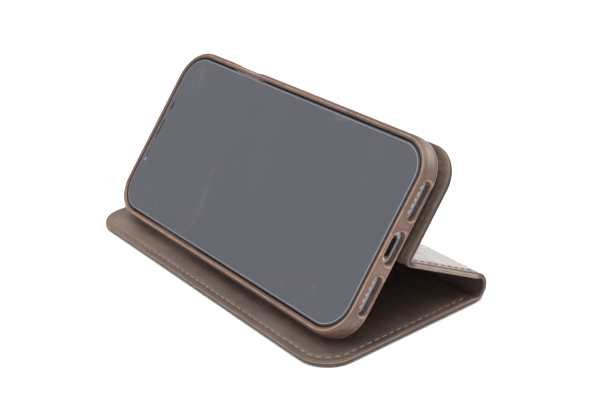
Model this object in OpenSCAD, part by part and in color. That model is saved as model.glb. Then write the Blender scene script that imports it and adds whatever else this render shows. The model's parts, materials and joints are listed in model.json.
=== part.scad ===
// Leather phone wallet case, folded out as a stand, with the handset in its tray.
//
// Frame: +X along the handset towards its charging end, +Y from the cover's free edge to the
// spine, +Z up. The origin is the centre of the footprint on the table. Every leather panel is
// built flat in its own frame, with its outer face at z = 0 and its inner face at z = panel_t,
// and then turned to the angle that it has in the stand.

/* [Handset] */
// Length of the handset
phone_l = 143.6; // [128:0.1:175]
// Width of the handset
phone_w = 70.9; // [66:0.1:86]
// Thickness of the handset
phone_t = 7.7; // [7:0.1:10]
// Corner radius of the handset
phone_r = 11.5; // [8:0.5:13]
// Thickness of the front and back glass
glass_t = 0.7; // [0.5:0.1:1]
// How far the buttons stand out of the handset's side
button_proud = 0.12; // [0.05:0.01:0.14]

/* [Tray] */
// Clearance between the handset and the tray, on each side
fit_gap = 0.15; // [0.15:0.05:0.4]
// Wall of the moulded tray
tray_t = 1.2; // [0.8:0.1:1.5]
// Leather and its padding over the tray's walls
wrap_t = 1.6; // [1.2:0.1:2]
// Floor of the moulded tray
floor_t = 0.6; // [0.5:0.1:1.4]
// Soft pad on the tray's floor
pad_t = 0.2; // [0.2:0.1:0.6]
// How far the rim stands above the handset's glass
rim_proud = 0.3; // [0.2:0.1:0.9]
// Radius of the tray's rear edge
back_round = 4.4; // [3.5:0.1:5]

/* [Cut-outs] */
// Length of the charging port's window
port_cut_l = 12.2; // [10:0.1:13.5]
// Height of the charging port's window
port_cut_h = 5.8; // [4.5:0.1:6.2]
// Length of each speaker window
speaker_cut_l = 14.4; // [13.5:0.1:15.5]
// Height of each speaker window
speaker_cut_h = 4.0; // [3:0.1:5]
// Distance from the port's centre to a speaker window's centre
speaker_off = 18; // [15.5:0.5:20]
// Length of the camera window
camera_cut_l = 31; // [29:0.5:33]
// Width of the camera window
camera_cut_w = 15; // [14:0.5:17]
// Width of the side button's window and of the volume keys' window, across the edge
button_cut_h = 5.9; // [4:0.1:6.5]

/* [Leather panels] */
// How far the panels reach past the tray at each end
panel_end = 2.05; // [1:0.05:6]
// Corner radius of the panels
panel_r = 13; // [8:0.5:20]
// Outer leather
leather_t = 1.1; // [0.8:0.1:1.8]
// Stiffener inside a panel
board_t = 0.7; // [0.5:0.05:1.2]
// Inner leather
lining_t = 0.7; // [0.5:0.05:1.2]
// How much narrower the cover's flat part is than the two back panels together
cover_short = 6.4; // [2:0.1:9]
// Distance from the tray to the spine when the case lies open
spine_gap = 1.7; // [1:0.1:5]
// Outer radius of the spine
spine_r = 6; // [5:0.1:10]
// How far the upper back panel reaches past the tray's edge
panel_margin = 0.2; // [0:0.1:3]
// How far the stiffener stays inside a panel's outline
board_inset = 4.5; // [4:0.5:8]

/* [Stitching] */
// Distance of the stitching from a panel's edge
stitch_in = 2.6; // [2:0.1:3.5]
// Distance from one stitch to the next
stitch_pitch = 3.4; // [2.5:0.1:5]
// Thread diameter
thread_d = 0.5; // [0.4:0.05:0.6]

/* [Pockets] */
// Length of the banknote slit
note_slit_l = 120; // [90:1:126]
// Length of each card slit
card_slit_l = 90; // [88:1:94]
// Distance of the banknote slit from the spine
note_slit_at = 8.7; // [6:0.1:14]
// Distance from one slit to the next
slit_step = 12; // [8:0.5:14]
// Width of a slit
slit_w = 0.5; // [0.3:0.1:0.8]

/* [Stand] */
// Tilt of the handset from the table
tilt = 52.5; // [45:0.5:60]
// Place of the crease across the handset's width, from its centre line
crease_v = -1; // [-5:0.1:2]
// Air between the tray's lower edge and the cover
rest_gap = 0.2; // [0.15:0.05:0.5]

/* [Hidden] */
$fn = 64;
eps = 0.01;

brown = [0.30, 0.20, 0.16];
brown_dark = [0.20, 0.13, 0.12];
thread_tone = [0.13, 0.09, 0.08];
steel = [0.62, 0.63, 0.65];
black = [0.05, 0.05, 0.06];

panel_t = leather_t + board_t + lining_t;
// The cover shares its core between a stiffener and the pockets' liner
liner_t = 0.25;

// Heights in the handset's frame, where z = 0 is the rim and +z comes out of the screen
glass_top = -rim_proud;
phone_back = glass_top - phone_t;
seat_gap = 0.05;
pad_top = phone_back - seat_gap;
floor_top = pad_top - pad_t;
wrap_back = 0.45;
shell_back = floor_top - floor_t - wrap_back;
glue_t = 0.15;
panel_outer = shell_back - glue_t - panel_t;
mid_height = glass_top - phone_t / 2;

cavity_l = phone_l + 2 * fit_gap;
cavity_w = phone_w + 2 * fit_gap;
cavity_r = phone_r + fit_gap;
shell_l = cavity_l + 2 * (tray_t + wrap_t);
shell_w = cavity_w + 2 * (tray_t + wrap_t);
shell_r = cavity_r + tray_t + wrap_t;
panel_l = shell_l + 2 * panel_end;
upper_w = shell_w / 2 + panel_margin - crease_v;
lower_w = shell_w / 2 + crease_v + spine_gap;
cover_w = lower_w + upper_w - cover_short;

// The stand is a triangle: the tray's lower edge sits on the cover, and the crease is as high as
// the tilted tray puts it, which sets the slope of the lower back panel.
hinge_y = cover_w - (cover_w + spine_r) / 2;
rim_z = panel_t + rest_gap + (shell_w / 2 - back_round) * sin(tilt)
    + (-shell_back - back_round) * cos(tilt) + back_round;
crease_z = rim_z + crease_v * sin(tilt) + panel_outer * cos(tilt);
chain_r = norm([lower_w, spine_r]);
lower_slope = asin((crease_z - spine_r) / chain_r) - atan2(spine_r, lower_w);
spine_turn = 180 - lower_slope;
fold_y = hinge_y + spine_r * sin(lower_slope);
fold_z = spine_r * (1 + cos(lower_slope));
crease_y = fold_y - lower_w * cos(lower_slope);
rim_y = crease_y - crease_v * cos(tilt) + panel_outer * sin(tilt);

// The spine bends as two stiff parts, hinged along its outer face. The second turns twice as far
// as the first, so that both reach down to the table when the case is open.
spine_first = spine_turn / 3;
spine_t = leather_t + lining_t;
// Clear angle between the spine's parts
spine_clear = 0.6;
fold_clear = 0.1;

stitch_l = stitch_pitch * 0.78;
groove_w = thread_d + 0.3;
groove_t = 0.35;

// Places of the parts in the handset, from its centre
port_hole = [8.6, 3.0];
port_depth = 6.5;
hole_d = 1.4;
hole_pitch = 2.3;
hole_count = 6;
screw_off = 6.9;
screw_d = 1.4;
ring_t = 2.5;
edge_in = 0.75;
glass_in = 1.0;
camera_x = -(phone_l / 2 - 21.5);
camera_v = phone_w / 2 - 11.5;
camera_size = [26.5, 11.6];
camera_proud = 1.1;
lens_off = 8;
lens_d = 8.4;
flash_d = 4;
earpiece = [2, 9];
earpiece_x = -(phone_l / 2 - 2.8);
sensor_off = [14.2, 8.4, -8.2, -14.4];
side_button_x = -(phone_l / 2 - 37);
side_button_l = 17;
volume_up_x = -(phone_l / 2 - 37);
volume_down_x = -(phone_l / 2 - 50);
volume_l = 10;
ring_x = -(phone_l / 2 - 23.5);
ring_l = 5.5;
ring_travel = 1.4;
button_h = 2.2;
button_deep = 1.2;
button_gap = 0.3;
speaker_box = [3, 16, 2.8];

// Windows: clearance at the ends of the keys, reach of the cutting shapes, and how much wider the
// camera window is in each layer than in the one inside it
window_clear = 1.5;
cut_reach = 8;
window_step = 0.5;
board_window_clear = 1.5;
glue_window_clear = 2;

// Adhesive pad: distances from the tray's far edge, from its ends, and from the crease
glue_inset = 4;
glue_end_in = 7;
glue_from = 3;

// The handset's edges are bevelled in two steps: a slope down to edge_low, then one to edge_high
edge_step = 0.25;
edge_low = 1;
edge_high = 2.6;
// The soft pad stays this far inside the hollow
pad_inset = 1.5;

// ---- shapes -------------------------------------------------------------------------------

// Rounded rectangle about the origin
module rounded(l, w, r) {
    square([l - 2 * r, w], center = true);
    square([l, w - 2 * r], center = true);
    for (x = [-1, 1], y = [-1, 1])
        translate([x * (l / 2 - r), y * (w / 2 - r)]) circle(r);
}

// Rectangle from y = y0 to y = d, rounded at its far corners
module flap(l, d, r, y0 = 0) {
    translate([-l / 2, y0]) square([l, d - r - y0]);
    translate([-l / 2 + r, y0]) square([l - 2 * r, d - y0]);
    for (x = [-1, 1]) translate([x * (l / 2 - r), d - r]) circle(r);
}

// Slot with round ends, its length along x
module slot(l, w) {
    square([l - w, w], center = true);
    for (x = [-1, 1]) translate([x * (l - w) / 2, 0]) circle(w / 2);
}

// Convex slab between layers given as [inset, height], for edges that are not square
module pillow(l, w, r, layers) {
    hull() for (k = layers)
        translate([0, 0, k[1] - eps / 2]) linear_extrude(eps)
            rounded(l - 2 * k[0], w - 2 * k[0], r - k[0], $fn = 32);
}

// Layers of a rear edge rounded to radius r, starting at height z
function round_layers(r, z, inset = 0) =
    [for (a = [90:-22.5:0]) [inset + r * (1 - cos(a)), z + r * (1 - sin(a))]];

// Point and direction at length s of a run along a flap's edge, inset already taken off
function run_at(s, a, d, r, y0) =
    let (side = d - r - y0, turn = PI / 2 * r, top = 2 * (a - r))
    s < side ? [a, y0 + s, 90]
    : s < side + turn ? let (t = (s - side) / r * 180 / PI)
        [a - r + r * cos(t), d - r + r * sin(t), 90 + t]
    : s < side + turn + top ? [a - r - (s - side - turn), d, 180]
    : s < side + 2 * turn + top ? let (t = (s - side - turn - top) / r * 180 / PI)
        [-a + r - r * sin(t), d - r + r * cos(t), 180 + t]
    : [-a, d - r - (s - side - 2 * turn - top), 270];

function run_length(a, d, r, y0) = 2 * (d - r - y0) + PI * r + 2 * (a - r);

// ---- leather panels, each flat with its outer face at z = 0 ------------------------------

module one_stitch() {
    rotate([0, 90, 0]) cylinder(d = thread_d, h = stitch_l, center = true, $fn = 6);
}

// Thread on both faces round the three edges of a flap
module flap_stitches(d) {
    a = panel_l / 2 - stitch_in;
    far = d - stitch_in;
    r = panel_r - stitch_in;
    total = run_length(a, far, r, stitch_in);
    count = floor(total / stitch_pitch);
    for (k = [0:count - 1], z = [thread_d / 2, panel_t - groove_t + thread_d / 2]) {
        p = run_at((k + 0.5) * total / count, a, far, r, stitch_in);
        translate([p[0], p[1], z]) rotate([0, 0, p[2]]) one_stitch();
    }
}

module flap_groove(d) {
    difference() {
        flap(panel_l - 2 * stitch_in + groove_w, d - stitch_in + groove_w / 2,
            panel_r - stitch_in + groove_w / 2, -1);
        flap(panel_l - 2 * stitch_in - groove_w, d - stitch_in - groove_w / 2,
            panel_r - stitch_in - groove_w / 2, -2);
    }
}

module flap_leather(d) {
    difference() {
        linear_extrude(leather_t) flap(panel_l, d, panel_r, fold_clear);
        translate([0, 0, -1]) linear_extrude(1 + thread_d + 0.02) flap_groove(d);
    }
}

// Outline of the stiffener, and of the hollow that it lies in
module board_outline(d, grow = 0) {
    translate([0, -grow]) flap(panel_l - 2 * board_inset + 2 * grow, d - board_inset + 2 * grow,
        panel_r - board_inset + grow, 1);
}

module flap_lining(d) {
    difference() {
        translate([0, 0, leather_t]) linear_extrude(board_t + lining_t)
            flap(panel_l, d, panel_r, fold_clear);
        translate([0, 0, leather_t - 1]) linear_extrude(1 + board_t) board_outline(d, 0.2);
        translate([0, 0, panel_t - groove_t - 0.02]) linear_extrude(1) flap_groove(d);
    }
}

// ---- frames of the panels ------------------------------------------------------------------

module in_cover() translate([0, hinge_y, 0]) rotate([0, 0, 180]) children();
module in_lower() translate([0, fold_y, fold_z]) rotate([180 - lower_slope, 0, 0]) children();
module in_upper() translate([0, crease_y, crease_z]) rotate([tilt, 0, 0]) children();
module in_phone() translate([0, rim_y, rim_z]) rotate([tilt, 0, 0]) children();

// ---- cover ---------------------------------------------------------------------------------

magnet = [22, 7];
magnet_x = 38;
magnet_in = 6.5;

module magnet_pair(d, grow = 0) {
    for (x = [-1, 1]) translate([x * magnet_x, d - magnet_in - magnet[1] / 2])
        square([magnet[0] + 2 * grow, magnet[1] + 2 * grow], center = true);
}

module slits() {
    for (k = [0:2]) translate([0, note_slit_at + k * slit_step])
        square([k == 0 ? note_slit_l : card_slit_l, slit_w], center = true);
}

module cover_leather() {
    color(brown) in_cover() flap_leather(cover_w);
}

module cover_board() {
    color("tan") in_cover() translate([0, 0, leather_t]) linear_extrude(board_t - liner_t)
        difference() {
            board_outline(cover_w);
            magnet_pair(cover_w, 0.1);
        }
}

module cover_magnets() {
    color(steel) in_cover() translate([0, 0, leather_t]) linear_extrude(board_t - liner_t)
        magnet_pair(cover_w);
}

module cover_pocket_liner() {
    color("dimgray") in_cover() translate([0, 0, leather_t + board_t - liner_t])
        linear_extrude(liner_t) board_outline(cover_w);
}

module cover_lining() {
    color(brown_dark) in_cover() difference() {
        flap_lining(cover_w);
        linear_extrude(panel_t + 1) slits();
    }
}

module cover_stitching() {
    color(thread_tone) in_cover() flap_stitches(cover_w);
}

// ---- spine ---------------------------------------------------------------------------------

// Part k of a bent layer of the spine, between two radii
module spine_part(k, outer, inner) {
    start = k == 0 ? 0 : spine_first;
    turn = k == 0 ? spine_first : spine_turn - spine_first;
    from = -90 + start + spine_clear / 2;
    to = from + turn - spine_clear;
    reach = 4 * spine_r;
    mid = (from + to) / 2;
    translate([-panel_l / 2, hinge_y, spine_r]) rotate([90, 0, 90]) linear_extrude(panel_l)
        intersection() {
            difference() {
                circle(outer);
                circle(inner);
            }
            polygon([[0, 0], reach * [cos(from), sin(from)], reach * [cos(mid), sin(mid)],
                reach * [cos(to), sin(to)]]);
        }
}

module spine_leather(k) {
    color(brown) spine_part(k, spine_r, spine_r - leather_t);
}

module spine_lining(k) {
    color(brown_dark) spine_part(k, spine_r - leather_t, spine_r - spine_t);
}

// ---- lower back panel ----------------------------------------------------------------------

// Strip between the two short edges, clear of both folds
module lower_strip(inset = 0, ends = fold_clear) {
    translate([-panel_l / 2 + inset, ends]) square([panel_l - 2 * inset, lower_w - 2 * ends]);
}

module lower_grooves() {
    for (x = [-1, 1]) translate([x * (panel_l / 2 - stitch_in) - groove_w / 2, -1])
        square([groove_w, lower_w + 2]);
}

module lower_back_leather() {
    color(brown) in_lower() difference() {
        linear_extrude(leather_t) lower_strip();
        translate([0, 0, -1]) linear_extrude(1 + thread_d + 0.02) lower_grooves();
    }
}

module lower_back_board() {
    color("tan") in_lower() translate([0, 0, leather_t]) linear_extrude(board_t)
        lower_strip(board_inset, 1.2);
}

module lower_back_lining() {
    color(brown_dark) in_lower() difference() {
        translate([0, 0, leather_t]) linear_extrude(board_t + lining_t) lower_strip();
        translate([0, 0, leather_t - 1]) linear_extrude(1 + board_t) lower_strip(board_inset - 0.2, 1);
        translate([0, 0, panel_t - groove_t - 0.02]) linear_extrude(1) lower_grooves();
    }
}

module lower_back_stitching() {
    run = lower_w - 2 * stitch_in;
    count = floor(run / stitch_pitch);
    color(thread_tone) in_lower()
        for (k = [0:count - 1], x = [-1, 1], z = [thread_d / 2, panel_t - groove_t + thread_d / 2])
            translate([x * (panel_l / 2 - stitch_in), stitch_in + (k + 0.5) * run / count, z])
                rotate([0, 0, 90]) one_stitch();
}

// ---- upper back panel ----------------------------------------------------------------------

// Camera window, in the upper panel's own frame
module panel_window(grow = 0) {
    translate([camera_x, camera_v - crease_v]) slot(camera_cut_l + 2 * grow, camera_cut_w + 2 * grow);
}

module upper_back_leather() {
    color(brown) in_upper() difference() {
        flap_leather(upper_w);
        translate([0, 0, -1]) linear_extrude(panel_t + 2) panel_window();
    }
}

module upper_back_board() {
    color("tan") in_upper() translate([0, 0, leather_t]) linear_extrude(board_t) difference() {
        board_outline(upper_w);
        panel_window(board_window_clear);
    }
}

module upper_back_lining() {
    color(brown_dark) in_upper() difference() {
        flap_lining(upper_w);
        translate([0, 0, -1]) linear_extrude(panel_t + 2) panel_window();
    }
}

module upper_back_stitching() {
    color(thread_tone) in_upper() flap_stitches(upper_w);
}

// ---- tray ----------------------------------------------------------------------------------

module tray_glue_pad() {
    color("gainsboro") in_upper() translate([0, 0, panel_t]) linear_extrude(glue_t - eps) difference() {
        flap(shell_l - 2 * glue_end_in, shell_w / 2 - crease_v - glue_inset, panel_r - glue_inset,
            glue_from);
        panel_window(glue_window_clear);
    }
}

// Outside of the tray's leather, and outside of the moulded tray under it
module shell_solid() {
    pillow(shell_l, shell_w, shell_r, concat(round_layers(back_round, shell_back),
        [[0.2, -2.4], [0.5, -0.8], [1.1, 0]]));
}

module tray_solid() {
    r = back_round - wrap_t;
    pillow(shell_l, shell_w, shell_r, concat(round_layers(r, shell_back + wrap_back, wrap_t),
        [[wrap_t, -2.2], [wrap_t + 0.2, -0.7]]));
}

// Hollow for the handset, narrower at its floor as the handset is
module cavity(floor_z) {
    pillow(cavity_l, cavity_w, cavity_r,
        [[edge_in, floor_z], [edge_step, floor_z + edge_low], [0, floor_z + edge_high], [0, 2]]);
}

// Windows through the tray and its leather
module tray_windows() {
    end_x = (shell_l - cut_reach) / 2;
    translate([end_x, 0, mid_height]) rotate([90, 0, 90]) linear_extrude(cut_reach)
        slot(port_cut_l, port_cut_h);
    for (s = [-1, 1]) translate([end_x, s * speaker_off, mid_height]) rotate([90, 0, 90])
        linear_extrude(cut_reach) slot(speaker_cut_l, speaker_cut_h);
    translate([side_button_x, (shell_w + cut_reach) / 2, mid_height]) rotate([90, 0, 0])
        linear_extrude(cut_reach) slot(side_button_l + 2 * window_clear, button_cut_h);
    keys_from = ring_x - ring_l / 2;
    keys_to = volume_down_x + volume_l / 2;
    translate([(keys_from + keys_to) / 2, (cut_reach - shell_w) / 2, mid_height]) rotate([90, 0, 0])
        linear_extrude(cut_reach) slot(keys_to - keys_from + 2 * window_clear, button_cut_h);
    translate([camera_x, camera_v, shell_back - 1]) linear_extrude(cut_reach)
        slot(camera_cut_l - 2 * window_step, camera_cut_w - 2 * window_step);
}

module tray() {
    color("saddlebrown") in_phone() difference() {
        tray_solid();
        cavity(floor_top);
        tray_windows();
    }
}

module tray_leather() {
    color(brown) in_phone() difference() {
        shell_solid();
        tray_solid();
        cavity(floor_top);
        tray_windows();
    }
}

module tray_pad() {
    color("dimgray") in_phone() difference() {
        translate([0, 0, floor_top]) linear_extrude(pad_t)
            rounded(cavity_l - 2 * pad_inset, cavity_w - 2 * pad_inset, cavity_r - pad_inset);
        tray_windows();
    }
}

// ---- handset -------------------------------------------------------------------------------

module phone_solid() {
    pillow(phone_l, phone_w, phone_r, [
        [edge_in, phone_back], [edge_step, phone_back + edge_low], [0, phone_back + edge_high],
        [0, glass_top - edge_high], [edge_step, glass_top - edge_low], [edge_in, glass_top]]);
}

module phone_plan(inset) {
    rounded(phone_l - 2 * inset, phone_w - 2 * inset, phone_r - inset);
}

// Recess in the frame's side for a button, its length along x
module button_recess(x, side, l, h) {
    translate([x - l / 2, side > 0 ? phone_w / 2 - ring_t - 1 : -phone_w / 2 - 1, mid_height - h / 2])
        cube([l, ring_t + 2, h]);
}

module phone_frame() {
    end_x = (phone_l - cut_reach) / 2;
    color(steel) in_phone() difference() {
        phone_solid();
        translate([0, 0, phone_back - 1]) linear_extrude(phone_t + 2) phone_plan(ring_t);
        translate([0, 0, glass_top - glass_t]) linear_extrude(5) phone_plan(glass_in - 0.05);
        translate([0, 0, phone_back - 5 + glass_t]) linear_extrude(5) phone_plan(glass_in - 0.05);
        translate([end_x, 0, mid_height]) rotate([90, 0, 90]) linear_extrude(cut_reach)
            slot(port_hole[0] + 1.2, port_hole[1] + 1.2);
        for (s = [-1, 1]) {
            for (k = [0:hole_count - 1])
                translate([end_x, s * speaker_off + (k - (hole_count - 1) / 2) * hole_pitch,
                    mid_height]) rotate([0, 90, 0]) cylinder(d = hole_d, h = cut_reach);
            translate([end_x, s * screw_off, mid_height]) rotate([0, 90, 0])
                cylinder(d = screw_d + 0.04, h = cut_reach);
        }
        button_recess(side_button_x, 1, side_button_l, button_h + button_gap);
        button_recess(volume_up_x, -1, volume_l, button_h + button_gap);
        button_recess(volume_down_x, -1, volume_l, button_h + button_gap);
        button_recess(ring_x, -1, ring_l, button_h + button_gap + 2 * ring_travel);
    }
}

module phone_front_glass() {
    color(black) in_phone() translate([0, 0, glass_top - glass_t]) linear_extrude(glass_t)
        difference() {
            phone_plan(glass_in);
            translate([earpiece_x, 0]) rotate(90) slot(earpiece[1], earpiece[0] / 2 + 0.04);
            for (v = sensor_off) translate([earpiece_x, v]) circle(d = 2.04);
        }
}

module phone_display() {
    color("darkslategray") in_phone() translate([0, 0, glass_top - glass_t - 0.5])
        linear_extrude(0.5) phone_plan(ring_t + 0.05);
}

module phone_core() {
    top = glass_top - glass_t - 0.5;
    bottom = phone_back + glass_t;
    gap = port_depth + 2;
    color("gray") in_phone() translate([0, 0, bottom]) linear_extrude(top - bottom)
        translate([-gap / 2, 0]) rounded(phone_l - 2 * ring_t - gap - 0.2, phone_w - 2 * ring_t - 4,
            phone_r - ring_t);
}

module phone_back_glass() {
    color("silver") in_phone() translate([0, 0, phone_back]) linear_extrude(glass_t) difference() {
        phone_plan(glass_in);
        translate([camera_x, camera_v]) slot(camera_size[0] + 0.1, camera_size[1] + 0.1);
    }
}

module earpiece_grille() {
    color(black) in_phone() translate([earpiece_x, 0, glass_top - glass_t]) linear_extrude(0.5)
        rotate(90) slot(earpiece[1] - 0.04, earpiece[0] / 2);
}

module front_sensors() {
    color(black) in_phone() for (v = sensor_off)
        translate([earpiece_x, v, glass_top - glass_t]) cylinder(d = 2, h = glass_t - 0.1);
}

module charge_port() {
    color(steel) in_phone() translate([phone_l / 2 - port_depth - 0.3, 0, mid_height])
        rotate([90, 0, 90]) difference() {
            linear_extrude(port_depth) slot(port_hole[0] + 1.1, port_hole[1] + 1.1);
            translate([0, 0, 0.6]) linear_extrude(port_depth) slot(port_hole[0], port_hole[1]);
        }
}

module bottom_speakers() {
    color(black) in_phone() for (s = [-1, 1])
        translate([phone_l / 2 - ring_t - speaker_box[0] - 0.2, s * speaker_off, mid_height])
            translate([0, -speaker_box[1] / 2, -speaker_box[2] / 2]) cube(speaker_box);
}

module end_screws() {
    color(steel) in_phone() for (s = [-1, 1])
        translate([phone_l / 2 - 2.3, s * screw_off, mid_height]) rotate([0, 90, 0])
            cylinder(d = screw_d, h = 2);
}

module camera_housing() {
    color(steel) in_phone() translate([camera_x, camera_v, phone_back - camera_proud]) difference() {
        linear_extrude(camera_proud + glass_t) slot(camera_size[0], camera_size[1]);
        for (s = [-1, 1]) translate([s * lens_off, 0, -1]) cylinder(d = lens_d + 0.04, h = 2);
        translate([0, 0, -1]) cylinder(d = flash_d + 0.04, h = 2);
    }
}

module camera_lenses() {
    color(black) in_phone() for (s = [-1, 1])
        translate([camera_x + s * lens_off, camera_v, phone_back - camera_proud])
            cylinder(d = lens_d, h = 0.95);
}

module camera_flash() {
    color("white") in_phone() translate([camera_x, camera_v, phone_back - camera_proud])
        cylinder(d = flash_d, h = 0.95);
}

// A key: a bar across the frame's recess, standing button_proud out of the side
module key(x, side, l) {
    out = side * (phone_w / 2 + button_proud);
    from = min(out, out - side * button_deep);
    color(steel) in_phone() translate([x - l / 2 + 0.1, from, mid_height - button_h / 2])
        cube([l - 0.2, button_deep, button_h]);
}

module side_button() { key(side_button_x, 1, side_button_l); }
module volume_up_button() { key(volume_up_x, -1, volume_l); }
module volume_down_button() { key(volume_down_x, -1, volume_l); }
module ring_switch() { key(ring_x, -1, ring_l); }

// ---- nodes ---------------------------------------------------------------------------------

cover_leather();
cover_board();
cover_pocket_liner();
cover_lining();
cover_stitching();
cover_magnets();
spine_leather(0);  // spine_leather_1
spine_leather(1);  // spine_leather_2
spine_lining(0);  // spine_lining_1
spine_lining(1);  // spine_lining_2
lower_back_leather();
lower_back_board();
lower_back_lining();
lower_back_stitching();
upper_back_leather();
upper_back_board();
upper_back_lining();
upper_back_stitching();
tray_glue_pad();
tray();
tray_leather();
tray_pad();
phone_frame();
phone_front_glass();
phone_display();
phone_core();
phone_back_glass();
earpiece_grille();
front_sensors();
charge_port();
bottom_speakers();
end_screws();
camera_housing();
camera_lenses();
camera_flash();
side_button();
volume_up_button();
volume_down_button();
ring_switch();
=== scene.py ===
"""Looks of a brown leather phone wallet case that stands folded out, with the handset in its tray.

The leather is one strip: cover, spine, lower back, crease, upper back. strip() gives a place on it
from (x, s, h): x along the folds, s along the strip from the cover's free edge, and h from its
outer face inwards. The tray and the handset are built in the screen's own axes (x, v, w).
"""

import json
import math

import bmesh
import bpy
import numpy as np
from mathutils import Matrix, Vector
from mathutils.geometry import delaunay_2d_cdt


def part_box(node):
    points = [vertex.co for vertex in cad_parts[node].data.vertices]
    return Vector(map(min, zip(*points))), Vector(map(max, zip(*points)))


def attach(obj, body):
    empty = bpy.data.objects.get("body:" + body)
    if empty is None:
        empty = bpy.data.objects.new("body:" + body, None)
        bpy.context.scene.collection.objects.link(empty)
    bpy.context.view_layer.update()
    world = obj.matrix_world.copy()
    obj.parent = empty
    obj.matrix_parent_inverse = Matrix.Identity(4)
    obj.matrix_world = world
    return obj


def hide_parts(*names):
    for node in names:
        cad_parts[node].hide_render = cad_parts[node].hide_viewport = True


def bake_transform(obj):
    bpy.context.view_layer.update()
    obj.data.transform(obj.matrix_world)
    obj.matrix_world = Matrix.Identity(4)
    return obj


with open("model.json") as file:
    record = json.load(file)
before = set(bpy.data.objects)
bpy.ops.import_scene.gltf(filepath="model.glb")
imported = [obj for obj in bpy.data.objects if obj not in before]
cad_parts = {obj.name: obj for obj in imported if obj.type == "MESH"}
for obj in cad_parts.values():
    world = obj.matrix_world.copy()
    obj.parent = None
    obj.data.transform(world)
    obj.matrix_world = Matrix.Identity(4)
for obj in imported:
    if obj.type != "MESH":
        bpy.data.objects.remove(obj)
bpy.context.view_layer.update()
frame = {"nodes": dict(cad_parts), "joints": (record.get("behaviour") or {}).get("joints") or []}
MM = 0.001
JOINTS = {j["name"]: j for j in frame["joints"]}


# ---- sizes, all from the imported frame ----

def points(node):
    """A CAD node's vertices, in the row frame."""
    co = np.zeros(len(frame["nodes"][node].data.vertices) * 3)
    frame["nodes"][node].data.vertices.foreach_get("co", co)
    return co.reshape(-1, 3)


def extent(node, axis, origin=(0, 0, 0)):
    """Lowest and highest place of a node's vertices along an axis."""
    along = (points(node) - np.array(origin)) @ np.array(axis)
    return float(along.min()), float(along.max())


SCREEN_OUT = np.array(JOINTS["phone_lift"]["axis"])
SCREEN_UP = np.array([0.0, SCREEN_OUT[2], -SCREEN_OUT[1]])
RIM_W = extent("tray_leather", SCREEN_OUT)[1]
RIM_V = sum(extent("tray_leather", SCREEN_UP)) / 2
RIM = RIM_V * SCREEN_UP + RIM_W * SCREEN_OUT


def on_screen(x, v, w):
    """Row-frame points from the screen's axes, with w = 0 at the tray's rim."""
    x, v, w = np.broadcast_arrays(x, v, w)
    return RIM + np.stack([x, 0 * x, 0 * x], -1) + v[..., None] * SCREEN_UP + w[..., None] * SCREEN_OUT


def screen_extent(node):
    """(v low, v high, w low, w high) of a node in the screen's axes."""
    return (*extent(node, SCREEN_UP, RIM), *extent(node, SCREEN_OUT, RIM))


PANEL_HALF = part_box("cover_leather")[1].x
PANEL_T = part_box("cover_lining")[1].z
CREASE = np.array(JOINTS["stand_crease"]["pos_m"])
FOLD_1 = np.array(JOINTS["cover_fold"]["pos_m"])
FOLD_END = np.array(JOINTS["spine_fold_3"]["pos_m"])
COVER_L = FOLD_1[1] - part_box("cover_leather")[0].y
SPINE_R = ((FOLD_END[1] - FOLD_1[1]) ** 2 + FOLD_END[2] ** 2) / (2 * FOLD_END[2])
LOWER_L = float(np.linalg.norm(CREASE - FOLD_END))
UPPER_L = extent("upper_back_leather", SCREEN_UP, CREASE)[1]
LOWER_TURN = math.atan2(CREASE[2] - FOLD_END[2], CREASE[1] - FOLD_END[1])
UPPER_TURN = math.atan2(SCREEN_UP[2], SCREEN_UP[1])

CORNER_R = 13 * MM
CREASE_R = 0.45 * MM
STITCH_IN = 2.6 * MM
STITCH_PITCH = 3.4 * MM
SLIT_STEP = 12 * MM
SLIT_FIRST = 8.7 * MM
# Half lengths of the banknote slit and the two card slits
SLIT_HALVES = (60 * MM, 45 * MM, 45 * MM)
SLIT_FADE = 0.4 * MM
# Depth and width of a slit's gap, and height, place and width of the lip beside it
SLIT_GAP = (0.5 * MM, 0.22 * MM)
SLIT_LIP = (0.16 * MM, 1.0 * MM, 0.9 * MM)


# ---- the leather strip ----

def arc_at(angle):
    """Place along the strip at an angle round the spine."""
    return COVER_L + SPINE_R * angle


CREASE_TRIM = CREASE_R * math.tan((LOWER_TURN - UPPER_TURN) / 2)
SPINE_END = arc_at(LOWER_TURN)
CREASE_FROM = SPINE_END + LOWER_L - CREASE_TRIM
CREASE_TO = CREASE_FROM + CREASE_R * (LOWER_TURN - UPPER_TURN)
STRIP_L = CREASE_TO + UPPER_L - CREASE_TRIM


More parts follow.
